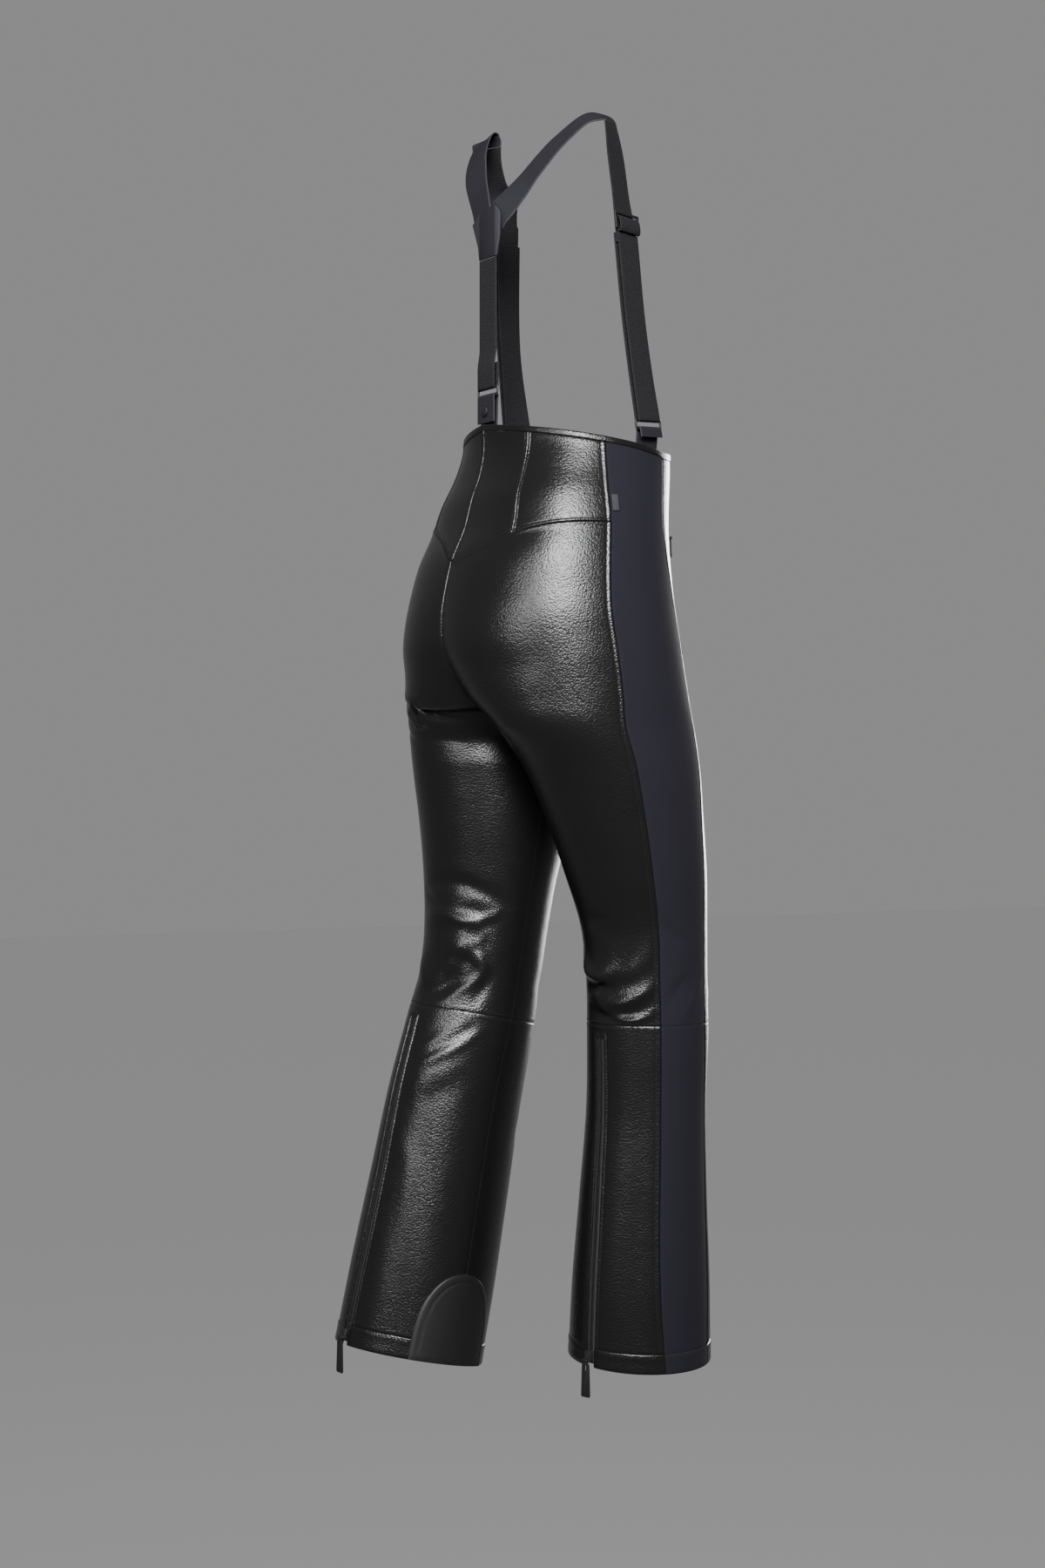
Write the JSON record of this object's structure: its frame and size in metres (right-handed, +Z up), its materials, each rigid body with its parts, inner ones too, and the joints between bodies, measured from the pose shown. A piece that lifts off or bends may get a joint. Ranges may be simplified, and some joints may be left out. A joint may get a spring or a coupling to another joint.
{
  "type": "pair of ski trousers with braces",
  "caption": "Pair of flared ski trousers worn in mid-stride, hollow, with stretch side panels, calf zips, scuff guards and clip-on elastic braces.",
  "frame": {"origin": "centre of the waist, where the wearer holds the trousers up", "axes": "+Z up, the front of the garment faces -Y, the wearer's left is +X"},
  "size_m": [0.3628, 0.3671, 1.4304],
  "materials": {
    "leather": "black pebble-grained faux leather, satin",
    "stretch": "very dark navy matte stretch cloth",
    "webbing": "dark navy matte webbing",
    "elastic": "black ribbed elastic",
    "hardware": "black lacquered trims",
    "tape": "black woven zip tape",
    "rubber": "black moulded scuff guard, matte"
  },
  "bodies": {
    "garment": {"adjuster_left": "hardware", "adjuster_right": "hardware", "back_elastic": "elastic", "back_lower_left": "leather", "back_lower_right": "leather", "back_patch": "webbing", "back_ring": "hardware", "back_snap": "hardware", "back_tab": "webbing", "back_upper_left": "leather", "back_upper_right": "leather", "calf_zip_chain_left": "hardware", "calf_zip_chain_right": "hardware", "calf_zip_tape_left": "tape", "calf_zip_tape_right": "tape", "fly_zip": "hardware", "front_elastic_left": "elastic", "front_elastic_right": "elastic", "front_lower_left": "leather", "front_lower_right": "leather", "front_ring_left": "hardware", "front_ring_right": "hardware", "front_strap_left": "elastic", "front_strap_right": "elastic", "front_tab_left": "webbing", "front_tab_right": "webbing", "front_upper_left": "leather", "front_upper_right": "leather", "hem_band_left": "leather", "hem_band_right": "leather", "pocket_zip_left": "hardware", "pocket_zip_right": "hardware", "scuff_guard_left": "rubber", "scuff_guard_right": "rubber", "shoulder_strap_left": "webbing", "shoulder_strap_right": "webbing", "side_lower_left": "stretch", "side_lower_right": "stretch", "side_tab": "webbing", "side_upper_left": "stretch", "side_upper_right": "stretch", "slider_calf_left": "hardware", "slider_calf_right": "hardware", "slider_fly": "hardware", "slider_pocket_left": "hardware", "slider_pocket_right": "hardware", "waist_binding_left": "leather", "waist_binding_right": "leather", "yoke_centre_left": "leather", "yoke_centre_right": "leather", "yoke_side_left": "leather", "yoke_side_right": "leather"},
    "pull_calf_right": {"pull_calf_right": "hardware"},
    "pull_pocket_right": {"pull_pocket_right": "hardware"},
    "pull_calf_left": {"pull_calf_left": "hardware"},
    "pull_pocket_left": {"pull_pocket_left": "hardware"},
    "pull_fly": {"pull_fly": "hardware"}
  },
  "joints": [
    {"name": "pull_calf_right_swing", "type": "hinge", "parent": "garment", "child": "pull_calf_right", "pos_m": [-0.11608, 0.04796, -0.97461], "axis": [0.9649, 0.2625, 0.0024], "range_deg": [0, 150]},
    {"name": "pull_pocket_right_swing", "type": "hinge", "parent": "garment", "child": "pull_pocket_right", "pos_m": [-0.0738, -0.09039, -0.05984], "axis": [-0.9409, 0.31, 0.1367], "range_deg": [0, 150]},
    {"name": "pull_calf_left_swing", "type": "hinge", "parent": "garment", "child": "pull_calf_left", "pos_m": [0.08742, 0.24871, -0.96462], "axis": [0.9964, 0.0831, 0.0169], "range_deg": [0, 150]},
    {"name": "pull_pocket_left_swing", "type": "hinge", "parent": "garment", "child": "pull_pocket_left", "pos_m": [0.07403, -0.08736, -0.06015], "axis": [-0.9297, -0.3342, -0.1547], "range_deg": [0, 150]},
    {"name": "pull_fly_swing", "type": "hinge", "parent": "garment", "child": "pull_fly", "pos_m": [0, -0.11075, 0.01597], "axis": [-1, 0.0005, 0], "range_deg": [0, 150]}
  ]
}
